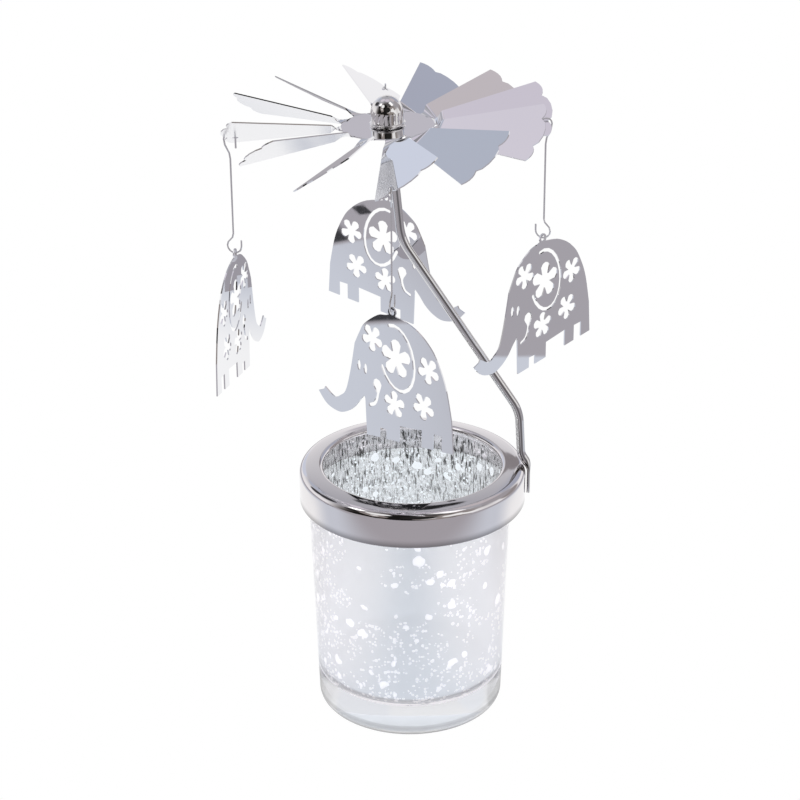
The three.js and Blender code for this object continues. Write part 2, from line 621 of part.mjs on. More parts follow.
// The whole holder

const group = new THREE.Group();
group.add(glassCup(), collarRing(), mast());
const wheel = new THREE.Group();
wheel.applyMatrix4(wheelMatrix());
wheel.add(fanWheel(), bearingCap());
group.add(wheel);
ELEPHANT_NAMES.forEach((_, index) => group.add(hangerWithElephant(index)));

export default group;
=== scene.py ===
# %% [markdown]
# This lesson dresses a rotating candle holder: a silvered glass cup, a drawn steel collar, a bent
# mast and a fan wheel with four pierced elephants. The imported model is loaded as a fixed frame, in
# metres. Every piece could be modelled anew, but flat sheet looks right as it is, so the flat pieces
# keep their CAD solids and get new materials. The round pieces get smooth skins, because each facet
# would show on polished metal and on glass.

# %% load the frame
import math

import bpy
from mathutils import Matrix, Vector


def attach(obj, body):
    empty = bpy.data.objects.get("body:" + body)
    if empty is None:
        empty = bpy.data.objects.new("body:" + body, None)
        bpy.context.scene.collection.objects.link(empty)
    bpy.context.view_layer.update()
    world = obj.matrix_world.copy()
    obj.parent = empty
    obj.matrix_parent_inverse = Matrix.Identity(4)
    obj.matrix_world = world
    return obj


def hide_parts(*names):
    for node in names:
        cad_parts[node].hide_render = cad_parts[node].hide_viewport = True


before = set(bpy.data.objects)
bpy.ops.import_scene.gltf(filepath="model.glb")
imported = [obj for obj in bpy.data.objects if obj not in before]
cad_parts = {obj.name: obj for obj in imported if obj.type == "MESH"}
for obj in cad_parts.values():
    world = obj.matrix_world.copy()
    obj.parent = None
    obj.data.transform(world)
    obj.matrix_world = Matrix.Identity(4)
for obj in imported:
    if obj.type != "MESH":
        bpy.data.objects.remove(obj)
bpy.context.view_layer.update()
# One millimetre in the frame's metres.
MM = 0.001
scene = bpy.context.scene
print("nodes:", sorted(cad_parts))

# %% [markdown]
# The camera is a long lens that looks down by about 24 degrees. It could be set by eye, but then the
# widths and heights of the picture would never agree together. Its place, angles and lens were
# fitted to points of the photograph instead.

# %% camera
CAMERA_PLACE = Vector((0.00097, -0.49435, 0.30967))
# Angles in degrees, lens and sensor in millimetres, as Blender's cameras take them.
CAMERA_PITCH = 24.41
CAMERA_YAW = -0.38
CAMERA_ROLL = -0.36
CAMERA_LENS = 96.32
CAMERA_SENSOR = 36
CAMERA_NEAR = 0.01

camera_data = bpy.data.cameras.new("camera")
camera_data.sensor_width = CAMERA_SENSOR
camera_data.lens = CAMERA_LENS
camera_data.clip_start = CAMERA_NEAR
camera = bpy.data.objects.new("camera", camera_data)
yaw = Matrix.Rotation(math.radians(-CAMERA_YAW), 4, "Z")
tilt = Matrix.Rotation(math.radians(90 - CAMERA_PITCH), 4, "X")
roll = Matrix.Rotation(math.radians(CAMERA_ROLL), 4, "Z")
camera.matrix_world = Matrix.Translation(CAMERA_PLACE) @ yaw @ tilt @ roll
scene.collection.objects.link(camera)
scene.camera = camera
print("camera at", tuple(round(v, 4) for v in camera.location))

# %% [markdown]
# A material is a tree of nodes. It could be put together by hand in the shader editor, but a script
# can be read through and run again. The first helper adds a node, and its inputs are given as
# sockets to link or as values to set. Most of the others stand for one common node each.

# %% nodes, groups and materials
def add(tree, kind, at, inputs=(), **settings):
    """A node. inputs maps the names or numbers of its inputs to sockets or values."""
    node = tree.nodes.new(kind)
    node.location = at
    for name, value in settings.items():
        setattr(node, name, value)
    for key, value in dict(inputs).items():
        if isinstance(value, bpy.types.NodeSocket):
            tree.links.new(value, node.inputs[key])
        else:
            node.inputs[key].default_value = value
    return node


def new_group(name, inputs, outputs):
    """A shader node group. inputs hold name and default number, outputs hold name and socket type."""
    tree = bpy.data.node_groups.new(name, "ShaderNodeTree")
    for label, default in inputs:
        socket = tree.interface.new_socket(label, in_out="INPUT", socket_type="NodeSocketFloat")
        socket.default_value = default
    for label, kind in outputs:
        tree.interface.new_socket(label, in_out="OUTPUT", socket_type=kind)
    enter = add(tree, "NodeGroupInput", (-1800, 0))
    leave = add(tree, "NodeGroupOutput", (800, 0))
    return tree, enter.outputs, leave.inputs


def new_material(name):
    """An empty material, its tree and the input for its surface."""
    material = bpy.data.materials.new(name)
    material.use_nodes = True
    tree = material.node_tree
    tree.nodes.clear()
    output = add(tree, "ShaderNodeOutputMaterial", (600, 0))
    return material, tree, output.inputs["Surface"]


print("tree helpers: nodes, groups and materials")

# %% values and colours
def calc(tree, at, operation, a, b):
    """The result of a calculation with two values. Each is a socket or a number."""
    return add(tree, "ShaderNodeMath", at, {0: a, 1: b}, operation=operation).outputs["Value"]


def times(tree, at, a, b):
    """The product of two values."""
    return calc(tree, at, "MULTIPLY", a, b)


def spread(tree, at, value, source, target=(0.0, 1.0), curve="LINEAR"):
    """A value carried from one range to another and held inside it. Ends are sockets or numbers."""
    inputs = {
        "Value": value,
        "From Min": source[0],
        "From Max": source[1],
        "To Min": target[0],
        "To Max": target[1],
    }
    return add(tree, "ShaderNodeMapRange", at, inputs, interpolation_type=curve).outputs["Result"]


def mix_colours(tree, at, factor, low, high):
    """A colour between two others. Each is a socket or three numbers."""
    inputs = {0: factor}
    for key, paint in ((6, low), (7, high)):
        inputs[key] = (*paint, 1) if isinstance(paint, tuple) else paint
    return add(tree, "ShaderNodeMix", at, inputs, data_type="RGBA").outputs[2]


def noise(tree, at, place, scale, detail=2.0, roughness=0.5, output="Fac"):
    """An output of a noise texture."""
    inputs = {"Vector": place, "Scale": scale, "Detail": detail, "Roughness": roughness}
    return add(tree, "ShaderNodeTexNoise", at, inputs).outputs[output]


def own_place(tree, at):
    """Each point's place in its own object."""
    return add(tree, "ShaderNodeTexCoord", at).outputs["Object"]


def height_of(tree, at, vector):
    """The upward part of a place or direction."""
    return add(tree, "ShaderNodeSeparateXYZ", at, {"Vector": vector}).outputs["Z"]


print("value helpers: sums, ranges, mixes, noise and places")

# %% [markdown]
# Collar, wheel and elephants are polished sheet, and the mast is a drawn rod. On the real pieces the
# reflections waver a little and the gloss is smudged. Photographed textures could give that, but
# they need unwrapped meshes. Noise in each object's own space needs none and keeps its scale. One
# group gives waves and smudges to every metal, and a second one gives the lines that a die leaves
# along a rod, with a painted dark reflection line down one side.

# %% waves and smudges
# Detail and roughness of the slow waves and of the fine grain.
WAVES = (1.5, 0.4)
GRAIN = (3.0, 0.6)
WAVE_DEPTH = 2 * MM
SMUDGE_EDGES = (0.35, 0.75)
WAVE_EDGES = (0.3, 0.7)
WAVE_TONES = (0.97, 1.0)
# The inputs of the group, in the order of a finish, with their defaults.
FINISH = {"Wave Scale": 40.0, "Wave Height": 0.1, "Grain Scale": 900.0, "Smooth": 0.05, "Smudged": 0.12}


def surface_group():
    """Smudges for roughness, a bumped normal from slow waves and a faint tone that follows them."""
    outputs = {"Roughness": "NodeSocketFloat", "Normal": "NodeSocketVector", "Tone": "NodeSocketFloat"}
    tree, enter, leave = new_group("worked_surface", FINISH.items(), outputs.items())
    place = own_place(tree, (-900, -300))
    wave = noise(tree, (-600, 200), place, enter["Wave Scale"], *WAVES)
    grain = noise(tree, (-600, -200), place, enter["Grain Scale"], *GRAIN)
    smudge = spread(tree, (-200, -200), grain, SMUDGE_EDGES, (enter["Smooth"], enter["Smudged"]))
    tone = spread(tree, (-200, -500), wave, WAVE_EDGES, WAVE_TONES)
    inputs = {"Height": wave, "Strength": enter["Wave Height"], "Distance": WAVE_DEPTH}
    bump = add(tree, "ShaderNodeBump", (-200, 200), inputs)
    tree.links.new(smudge, leave["Roughness"])
    tree.links.new(bump.outputs["Normal"], leave["Normal"])
    tree.links.new(tone, leave["Tone"])
    return tree


SURFACE = surface_group()
print("group:", SURFACE.name)

# %% die lines and a painted reflection line
LINE_SCALE = 5.0
# Detail and roughness of the noise that gives the lines.
LINE_NOISE = (2.0, 0.7)
LINE_EDGES = (0.36, 0.6)
LINE_TONES = (0.55, 1.0)
# A painted dark reflection line runs along the rod, on the side that faces this way where the rod
# stands upright.
REFLECTION_LINE_WAY = (0.25, -0.968, 0)
REFLECTION_LINE_EDGES = (0.965, 0.995)
REFLECTION_LINE_TONES = (1.0, 0.15)


def die_line_and_reflection_group():
    """Die lines along a drawn rod, and a painted dark reflection line down one side. The mesh holds each
    point's direction from the rod's middle line.
    """
    outputs = [("Tone", "NodeSocketFloat")]
    tree, enter, leave = new_group("die_lines_and_painted_reflection", [("Line Scale", LINE_SCALE)], outputs)
    around = add(tree, "ShaderNodeAttribute", (-900, -300), attribute_name="around").outputs["Vector"]
    lines = noise(tree, (-600, 0), around, enter["Line Scale"], *LINE_NOISE)
    pale = spread(tree, (-300, 0), lines, LINE_EDGES, LINE_TONES)
    inputs = {0: around, 1: REFLECTION_LINE_WAY}
    near = add(tree, "ShaderNodeVectorMath", (-600, -300), inputs, operation="DOT_PRODUCT")
    reflection_line = spread(tree, (-300, -300), near.outputs["Value"], REFLECTION_LINE_EDGES, REFLECTION_LINE_TONES)
    tree.links.new(times(tree, (0, 0), pale, reflection_line), leave["Tone"])
    return tree


DIE_LINES_AND_REFLECTION = die_line_and_reflection_group()
print("group:", DIE_LINES_AND_REFLECTION.name)

# %% [markdown]
# Sheet, collar, cap, mast and wires are all bright steel, but their colour and gloss differ a
# little. One plain metal could serve them all and would look like one casting. One function makes
# them here, each from its own colour and finish. It can add what only one piece has: die lines and a
# painted dark reflection line on the mast, a satin underside on the wheel, and painted shade that
# dims the lower edge of the collar's skirt.

# %% steel
# A tone of 0 keeps this share of the colour.
DARK_SHARE = 0.2
# The tone at the lower end of a dim edge of painted shade.
SHADE_EDGE_TONE = 0.35
# Faces turn from satin to gloss between these upward parts of their normals.
SATIN_EDGES = (-0.02, 0.02)


def steel(name, colour, finish, drawn=False, satin=None, edge=None):
    """A polished metal. It can have die lines with a painted reflection line, a satin underside or painted
    shade that darkens it downwards between two heights.
    """
    material, tree, surface_input = new_material(name)
    surface = add(tree, "ShaderNodeGroup", (-600, 0), zip(FINISH, finish), node_tree=SURFACE).outputs
    tone = surface["Tone"]
    gloss = surface["Roughness"]
    if drawn:
        lines = add(tree, "ShaderNodeGroup", (-600, 300), node_tree=DIE_LINES_AND_REFLECTION)
        tone = times(tree, (-400, 300), tone, lines.outputs["Tone"])
    # Painted shade: the colour darkens downwards between two heights.
    if edge is not None:
        level = height_of(tree, (-700, 500), own_place(tree, (-900, 500)))
        dim = spread(tree, (-500, 500), level, edge, (SHADE_EDGE_TONE, 1.0), "SMOOTHSTEP")
        tone = times(tree, (-300, 500), tone, dim)
    if satin is not None:
        normal = add(tree, "ShaderNodeNewGeometry", (-600, -300)).outputs["Normal"]
        upward = height_of(tree, (-400, -300), normal)
        gloss = spread(tree, (-200, -200), upward, SATIN_EDGES, (satin, gloss))
    dark = tuple(part * DARK_SHARE for part in colour)
    shade = mix_colours(tree, (-200, 200), tone, dark, colour)
    inputs = {"Base Color": shade, "Roughness": gloss, "Normal": surface["Normal"], "Metallic": 1.0}
    bsdf = add(tree, "ShaderNodeBsdfPrincipled", (200, 0), inputs)
    tree.links.new(bsdf.outputs["BSDF"], surface_input)
    return material


print("steel: one function for every metal")

# %% metals
# Wave scale, wave height, grain scale, smooth and smudged roughness.
SHEET_FINISH = (28.0, 0.03, 700.0, 0.012, 0.035)
COLLAR_FINISH = (18.0, 0.03, 500.0, 0.035, 0.07)
CAP_FINISH = (60.0, 0.04, 900.0, 0.05, 0.1)
MAST_FINISH = (60.0, 0.02, 900.0, 0.05, 0.1)
WIRE_FINISH = (200.0, 0.05, 1500.0, 0.2, 0.3)
SHEET_COLOUR = (0.86, 0.86, 0.88)
COLLAR_COLOUR = (0.82, 0.795, 0.805)
CAP_COLOUR = (0.83, 0.815, 0.81)
MAST_COLOUR = (0.86, 0.85, 0.85)
WIRE_COLOUR = (0.8, 0.8, 0.81)
SATIN_ROUGHNESS = 0.2
# Heights between which painted shade darkens the collar's skirt downwards.
SKIRT_SHADE_EDGE = (58.3 * MM, 60.6 * MM)

mirror_sheet = steel("mirror_sheet", SHEET_COLOUR, SHEET_FINISH)
fan_sheet = steel("fan_sheet", SHEET_COLOUR, SHEET_FINISH, satin=SATIN_ROUGHNESS)
collar_steel = steel("collar_steel", COLLAR_COLOUR, COLLAR_FINISH, edge=SKIRT_SHADE_EDGE)
polished_rod = steel("polished_rod", CAP_COLOUR, CAP_FINISH)
drawn_rod = steel("drawn_rod", MAST_COLOUR, MAST_FINISH, drawn=True)
wire_steel = steel("wire_steel", WIRE_COLOUR, WIRE_FINISH)
metals = (mirror_sheet, fan_sheet, collar_steel, polished_rod, drawn_rod, wire_steel)
print("metals:", [metal.name for metal in metals])

# %% [markdown]
# The wheel and the elephants are stamped from flat sheet, and the wires are thinner than half a
# millimetre. New meshes could be made for them, but they would only repeat the CAD solids, which are
# fine enough. So these pieces just get materials.

# %% dress the flat pieces
HANGERS = ("right", "back", "left", "front")


def dress(node, material):
    """Put one material on a CAD node."""
    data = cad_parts[node].data
    data.materials.clear()
    data.materials.append(material)


dress("fan_wheel", fan_sheet)
for hanger in HANGERS:
    dress(f"elephant_{hanger}", mirror_sheet)
    dress(f"hanger_wire_{hanger}", wire_steel)
print("dressed: fan_wheel, and an elephant and a wire for each of", HANGERS)

# %% [markdown]
# Cup, collar and cap are round about an upright axis. Subdivided cylinders could make them, but then
# the size of each rounding would depend on the spacing of the edges. These helpers draw a profile
# with true corner radii and turn it about the axis, as a lathe does.

# %% rounded lines
def rounded(points, radii, steps):
    """A line of (x, y) points with rounded corners. radii holds one radius for each inner point."""
    line = [Vector(points[0])]
    for before, corner, after, radius in zip(points, points[1:], points[2:], radii):
        corner = Vector(corner)
        if not radius:
            line.append(corner)
            continue
        back = (Vector(before) - corner).normalized()
        on = (Vector(after) - corner).normalized()
        half = back.angle(on) / 2
        reach = radius / math.tan(half)
        middle = corner + (back + on).normalized() * radius / math.sin(half)
        start = corner + back * reach - middle
        sweep = start.angle_signed(corner + on * reach - middle)
        for i in range(steps + 1):
            line.append(middle + Matrix.Rotation(-sweep * i / steps, 2) @ start)
    line.append(Vector(points[-1]))
    return line


print("rounded lines: corners as arcs")

# %% turned profiles
ON_AXIS = 1e-7


def turned(profile, sides, closed=False):
    """A profile of (radius, height) turned about Z. Points on the axis are shared."""
    verts = []
    rings = []
    for radius, height in profile:
        if radius < ON_AXIS:
            rings.append([len(verts)] * sides)
            verts.append((0, 0, height))
            continue
        rings.append(list(range(len(verts), len(verts) + sides)))
        for i in range(sides):
            angle = 2 * math.pi * i / sides
            verts.append((radius * math.cos(angle), radius * math.sin(angle), height))
    pairs = list(zip(rings, rings[1:]))
    if closed:
        pairs.append((rings[-1], rings[0]))
    faces = []
    for low, high in pairs:
        for i in range(sides):
            j = (i + 1) % sides
            corners = [low[i], low[j], high[j], high[i]]
            faces.append(list(dict.fromkeys(corners)))
    return verts, faces


print("turned profiles: a ring of points for each point, one point on the axis")

# %% riding meshes
SHARP_ANGLE = 35


def link_mesh(name, verts, faces, material, body, sharp_angle=SHARP_ANGLE):
    """A smooth mesh object that rides on a body. Edges over the angle stay sharp."""
    mesh = bpy.data.meshes.new(name)
    mesh.from_pydata(verts, [], faces)
    mesh.shade_smooth()
    mesh.set_sharp_from_angle(angle=math.radians(sharp_angle))
    mesh.materials.append(material)
    obj = bpy.data.objects.new(name, mesh)
    scene.collection.objects.link(obj)
    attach(obj, body)
    print(f"{name}: {len(faces)} faces")
    return obj


print("riding meshes: smooth up to", SHARP_ANGLE, "degrees")

# %% [markdown]
# The cup is clear pressed glass with a faint ripple, and its foot shows grey bands where the glass
# bends. Clear glass only shows such bands if the right things stand round it, and what stood round
# the real one isn't known. So they are painted shade and reflections: a group darkens the glass in
# grey bands by height.

# %% painted shade bands round the foot
GLASS_TINT = (0.985, 0.992, 0.995)
# Painted shade and reflections: grey bands round the foot, the heights of each and its colour.
FOOT_SHADE_BANDS = (
    ((-1 * MM, 3.3 * MM), (0.62, 0.62, 0.62)),
    ((-1 * MM, 1.4 * MM), (0.4, 0.4, 0.4)),
    ((2.6 * MM, 2.7 * MM), (0.5, 0.5, 0.5)),
)
FOOT_FADE = 0.4 * MM


def ramp_up(tree, at, value, low, high):
    """0 below low, 1 above high, smooth between. It falls where low is the larger one."""
    return spread(tree, at, value, (low, high), curve="SMOOTHSTEP")


def between(tree, at, value, edges, fade):
    """1 between two edges that fade outwards."""
    rise = ramp_up(tree, at, value, edges[0] - fade, edges[0])
    fall = ramp_up(tree, at, value, edges[1] + fade, edges[1])
    return times(tree, at, rise, fall)


def foot_shade_group():
    """The colour of the glass with painted grey bands of shade and reflection round its foot."""
    tree, _, leave = new_group("glass_foot_painted_shade", [], [("Colour", "NodeSocketColor")])
    level = height_of(tree, (-700, -300), own_place(tree, (-900, -300)))
    colour = GLASS_TINT
    for i, (edges, grey) in enumerate(FOOT_SHADE_BANDS):
        inside = between(tree, (-500, -300 * i), level, edges, FOOT_FADE)
        colour = mix_colours(tree, (-200, -300 * i), inside, colour, grey)
    tree.links.new(colour, leave["Colour"])
    return tree


FOOT_SHADE_TINT = foot_shade_group()
print("group:", FOOT_SHADE_TINT.name, "with", len(FOOT_SHADE_BANDS), "bands")

# %% clear glass
# The same five values as for a metal.
GLASS_FINISH = (35.0, 0.05, 300.0, 0.0, 0.02)
GLASS_IOR = 1.5


def clear_glass():
    """Clear glass with the faint ripple of a pressed cup, and painted grey bands of shade round its foot.
    """
    material, tree, surface_input = new_material("clear_glass")
    foot = add(tree, "ShaderNodeGroup", (-600, 300), node_tree=FOOT_SHADE_TINT).outputs
    surface = add(tree, "ShaderNodeGroup", (-600, 0), zip(FINISH, GLASS_FINISH), node_tree=SURFACE).outputs
    inputs = {
        "Base Color": foot["Colour"],
        "Roughness": surface["Roughness"],
        "Normal": surface["Normal"],
        "IOR": GLASS_IOR,
        "Transmission Weight": 1.0,
    }
    bsdf = add(tree, "ShaderNodeBsdfPrincipled", (200, 0), inputs)
    tree.links.new(bsdf.outputs["BSDF"], surface_input)
    return material


glass = clear_glass()
print("glass:", glass.name)

# %% [markdown]
# The cup itself tapers a little and has a thick base, which gathers light as a lens does. A thin
# shell could stand for it, but then the base would look empty. So it is one closed solid of glass:
# outside, rim, inside and floor are one profile. Its sizes repeat those of the CAD model.

# %% glass cup
CUP_HEIGHT = 66.5 * MM
CUP_FOOT_RADIUS = 24.2 * MM
CUP_RIM_RADIUS = 26.3 * MM
CUP_WALL = 2.4 * MM
CUP_BASE = 8 * MM
CUP_FOOT_FILLET = 2.2 * MM
CUP_RIM_FILLET = 1.1 * MM
CUP_FLOOR_FILLET = 3.5 * MM
CUP_FILLET_STEPS = 8
CUP_SIDES = 160


def cup_outer(height):
    """The cup's outer radius at a height."""
    return CUP_FOOT_RADIUS + (CUP_RIM_RADIUS - CUP_FOOT_RADIUS) * height / CUP_HEIGHT


cup_corners = [
    (0, 0),
    (CUP_FOOT_RADIUS, 0),
    (CUP_RIM_RADIUS, CUP_HEIGHT),
    (CUP_RIM_RADIUS - CUP_WALL, CUP_HEIGHT),
    (cup_outer(CUP_BASE) - CUP_WALL, CUP_BASE),
    (0, CUP_BASE),
]
cup_radii = [CUP_FOOT_FILLET, CUP_RIM_FILLET, CUP_RIM_FILLET, CUP_FLOOR_FILLET]
verts, faces = turned(rounded(cup_corners, cup_radii, CUP_FILLET_STEPS), CUP_SIDES)
cup = link_mesh("glass_cup_clear", verts, faces, glass, "cup")
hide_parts("glass_cup")

# %% [markdown]
# The real cup is silvered inside. Flakes of the film are missing, more of them low down, and dark
# runs go down the wall. The flakes could be cut out of a mesh, which would take very many faces.
# Masks take none: cells of a Voronoi texture become holes, and noise makes them ragged and crowded.
# One group gives all the masks of the film.

# %% holes of flakes
# The scale of the noise that makes holes ragged, and how far it shifts them.
RAGGED_SCALE = 420.0
RAGGED_SHIFT = 1.2 * MM


def flake_holes(tree, at, place, cell_scale, share, size):
    """1 inside round holes. Only a share of the cells has a hole, and holes differ in size."""
    left, top = at
    cells = add(tree, "ShaderNodeTexVoronoi", at, {"Vector": place, "Scale": cell_scale}).outputs
    pick = add(tree, "ShaderNodeSeparateColor", (left + 200, top - 100), {"Color": cells["Color"]})
    reach = spread(tree, (left + 400, top - 100), pick.outputs["Red"], (1 - share, 1.0), (0.0, size))
    return calc(tree, (left + 600, top), "LESS_THAN", cells["Distance"], reach)


def ragged_place(tree, place):
    """Places shifted by noise, so that holes get ragged edges."""
    warp = noise(tree, (-1400, 300), place, RAGGED_SCALE, output="Color")
    inputs = {0: warp, "Scale": RAGGED_SHIFT}
    shift = add(tree, "ShaderNodeVectorMath", (-1200, 300), inputs, operation="SCALE")
    inputs = {0: place, 1: shift.outputs["Vector"]}
    return add(tree, "ShaderNodeVectorMath", (-1000, 200), inputs, operation="ADD").outputs["Vector"]


print("flake helpers: round holes and ragged places")

# %% missing flakes and a painted highlight at the corner
# Holes: cells in a metre, share of cells with a hole, largest reach from a cell's middle.
SMALL_HOLES = (1300.0, 0.55, 0.6)
LARGE_HOLES = (360.0, 0.25, 0.55)
# Small holes crowd where a noise is over a limit that rises between two heights.
CROWD_SCALE = 70.0
CROWD_DETAIL = 1.0
CROWD_HEIGHTS = (8 * MM, 40 * MM)
CROWD_LIMITS = (0.36, 0.47)
# Flakes are missing above these heights only: the film on the floor of the cup is whole.
FILM_FLOOR = (8.1 * MM, 8.6 * MM)
# Painted highlight: holes in a broken row round the corner of the floor, between two heights, that
# the holes' painted glow turns into white dashes.
FILM_CORNER = (8.3 * MM, 9.2 * MM)
CORNER_FADE = 0.2 * MM
CORNER_DASH_SCALE = 300.0
CORNER_DASH_EDGES = (0.43, 0.47)


def film_holes(tree, place, ragged, stretched, level):
    """Missing flakes on the wall, and a broken row of holes at the corner of the floor for a painted
    highlight.
    """
    small = flake_holes(tree, (-800, 500), ragged, *SMALL_HOLES)
    large = flake_holes(tree, (-800, 200), ragged, *LARGE_HOLES)
    crowd = noise(tree, (-800, -100), place, CROWD_SCALE, CROWD_DETAIL)
    limit = spread(tree, (-800, -250), level, CROWD_HEIGHTS, CROWD_LIMITS)
    crowded = calc(tree, (-400, -100), "GREATER_THAN", crowd, limit)
    spots = calc(tree, (200, 300), "MAXIMUM", times(tree, (0, 400), small, crowded), large)
    wall = ramp_up(tree, (200, 100), level, *FILM_FLOOR)
    blocks = noise(tree, (0, -50), stretched, CORNER_DASH_SCALE)
    broken = ramp_up(tree, (200, -50), blocks, *CORNER_DASH_EDGES)
    corner = between(tree, (200, -250), level, FILM_CORNER, CORNER_FADE)
    flakes = times(tree, (400, 300), spots, wall)
    corner_dashes = times(tree, (400, 0), broken, corner)
    return calc(tree, (500, 200), "MAXIMUM", flakes, corner_dashes)


print("holes:", SMALL_HOLES[0], "small and", LARGE_HOLES[0], "large cells in a metre")

# %% masks of the silver film
# Glints are holes too, low on the bare film inside.
GLINT_HOLES = (850.0, 0.55, 0.6)
# Dark runs: stretch of their noise, its scale, detail and roughness, and the edges of the dark part.
RUN_STRETCH = (1, 1, 0.2)
RUN_NOISE = (2000.0, 2.0, 0.6)
RUN_EDGES = (0.5, 0.38)
RUN_HEIGHTS = {"Runs From": 26 * MM, "Runs To": 58 * MM}
RELIEF_SCALE = 700.0


def film_group():
    """Holes of missing flakes and of the painted corner highlight, glints inside, dark runs down the wall
    and a height for a bump.
    """
    outputs = [(name, "NodeSocketFloat") for name in ("Holes", "Glints", "Runs", "Height")]
    tree, enter, leave = new_group("silver_film", RUN_HEIGHTS.items(), outputs)
    place = own_place(tree, (-1600, 0))
    level = height_of(tree, (-1400, -200), place)
    ragged = ragged_place(tree, place)
    inputs = {"Vector": place, "Scale": RUN_STRETCH}
    stretched = add(tree, "ShaderNodeMapping", (-1200, -500), inputs).outputs["Vector"]
    upper = spread(tree, (-500, -350), level, (enter["Runs From"], enter["Runs To"]))
    lower = calc(tree, (-200, -250), "SUBTRACT", 1.0, upper)
    run = noise(tree, (-900, -500), stretched, *RUN_NOISE)
    dark = spread(tree, (-500, -500), run, RUN_EDGES)
    glints = flake_holes(tree, (-800, 900), ragged, *GLINT_HOLES)
    inputs = {"Vector": ragged, "Scale": RELIEF_SCALE}
    grain = add(tree, "ShaderNodeTexVoronoi", (-900, -800), inputs).outputs["Distance"]
    tree.links.new(film_holes(tree, place, ragged, stretched, level), leave["Holes"])
    tree.links.new(times(tree, (0, 700), glints, lower), leave["Glints"])
    tree.links.new(times(tree, (-200, -450), dark, upper), leave["Runs"])
    tree.links.new(calc(tree, (-500, -800), "ADD", grain, run), leave["Height"])
    return tree


FILM_MASKS = film_group()
print("film masks:", [item.name for item in FILM_MASKS.interface.items_tree])

# %% [markdown]
# Seen bare through the mouth, the film is bright silver with dark runs. Seen through the glass, it is
# pale and smooth, with a painted glow in its holes and a painted sheen on its sides. Two shells could
# show the two looks. One shell is enough, because a material can tell its sides apart: front faces
# look into the cup, back faces out through the glass.

# %% painted glow of the film
# Painted glow: light painted as emission into the holes, and a painted sheen on the film's sides
# where it is seen aslant.
NO_LIGHT = (0, 0, 0)
FILM_PAINTED_GLOW = (1, 0.935, 0.98)
HOLE_PAINTED_GLOW = 0.4
SIDE_PAINTED_SHEEN = 0.13
# The painted sheen of the sides is full from this facing value on.
SIDE_FACING = 0.22


def film_painted_glow(tree, holes, outside):
    """The colour of the painted glow on the outside of the film: in its holes and on its sides."""
    glow = times(tree, (-200, -500), times(tree, (-400, -500), holes, outside), HOLE_PAINTED_GLOW)
    facing = add(tree, "ShaderNodeLayerWeight", (-900, -600)).outputs["Facing"]
    aslant = spread(tree, (-700, -600), facing, (0.0, SIDE_FACING), (0.0, SIDE_PAINTED_SHEEN))
    sides = times(tree, (-500, -600), aslant, outside)
    shine = calc(tree, (0, -500), "ADD", glow, sides)
    return mix_colours(tree, (100, -600), shine, NO_LIGHT, FILM_PAINTED_GLOW)


print("film painted glow: at most", HOLE_PAINTED_GLOW + SIDE_PAINTED_SHEEN)

# %% silver film finish
# Colours of the bare film, of its dark runs and of the film seen through the glass.
BARE_SILVER = (0.95, 0.96, 0.97)
RUN_COLOUR = (0.12, 0.12, 0.12)
OUTSIDE_SILVER = (0.95, 0.96, 0.985)
FILM_METALLIC = 0.95
# Roughness inside and outside.
FILM_ROUGHNESS = (0.25, 0.35)
# How much the film covers seen from inside and from outside.
BARE_COVER = 0.5
FILM_COVER = 0.85
RELIEF_STRENGTH = 0.5
RELIEF_DEPTH = 0.6 * MM


def mix_values(tree, at, factor, low, high):
    """A value between two others. Each is a socket or a number."""
    return add(tree, "ShaderNodeMix", at, {0: factor, 2: low, 3: high}).outputs[0]


def film_material():
    """Bare silver with runs and see-through holes inside, a smooth pale film with holes of painted glow
    outside.
    """
    material, tree, surface_input = new_material("silver_coating")
    masks = add(tree, "ShaderNodeGroup", (-900, 0), node_tree=FILM_MASKS).outputs
    outside = add(tree, "ShaderNodeNewGeometry", (-900, 400)).outputs["Backfacing"]
    bare = mix_colours(tree, (-500, 300), masks["Runs"], BARE_SILVER, RUN_COLOUR)
    bare_cover = spread(tree, (-600, -100), masks["Runs"], (0.0, 1.0), (BARE_COVER, 1.0))
    thin = calc(tree, (-600, -300), "MAXIMUM", masks["Holes"], masks["Glints"])
    pierced = mix_values(tree, (-400, -200), thin, bare_cover, 0.0)
    strength = spread(tree, (-400, -700), outside, (0.0, 1.0), (RELIEF_STRENGTH, 0.0))
    inputs = {"Height": masks["Height"], "Strength": strength, "Distance": RELIEF_DEPTH}
    bump = add(tree, "ShaderNodeBump", (-200, -700), inputs)
    inputs = {
        "Base Color": mix_colours(tree, (-200, 300), outside, bare, OUTSIDE_SILVER),
        "Roughness": mix_values(tree, (-200, 100), outside, *FILM_ROUGHNESS),
        "Alpha": mix_values(tree, (-200, -200), outside, pierced, FILM_COVER),
        "Normal": bump.outputs["Normal"],
        # The emission is painted glow in the holes and painted sheen on the sides, not a lamp.
        "Emission Color": film_painted_glow(tree, masks["Holes"], outside),
        "Emission Strength": 1.0,
        "Metallic": FILM_METALLIC,
    }
    bsdf = add(tree, "ShaderNodeBsdfPrincipled", (200, 0), inputs)
    tree.links.new(bsdf.outputs["BSDF"], surface_input)
    return material


silver = film_material()
print("film finish:", silver.name)

# %% [markdown]
# The real film has next to no thickness. It could be a second material on the inner faces of the
# glass, but holes in the skin of a solid spoil the way that light bends in it. So it is a shell of
# its own that follows the inner profile at a small depth inside the glass.

# %% silver film
FILM_DEPTH = 0.05 * MM
FILM_BELOW_RIM = 0.7 * MM
FILM_FILLET_STEPS = 10
FILM_STEP = 3 * MM


def spaced(line, step):
    """The same line with points at most a step apart."""
    dense = [line[0]]
    for a, b in zip(line, line[1:]):
        count = max(1, math.ceil((b - a).length / step))
        dense.extend(a.lerp(b, i / count) for i in range(1, count + 1))
    return dense


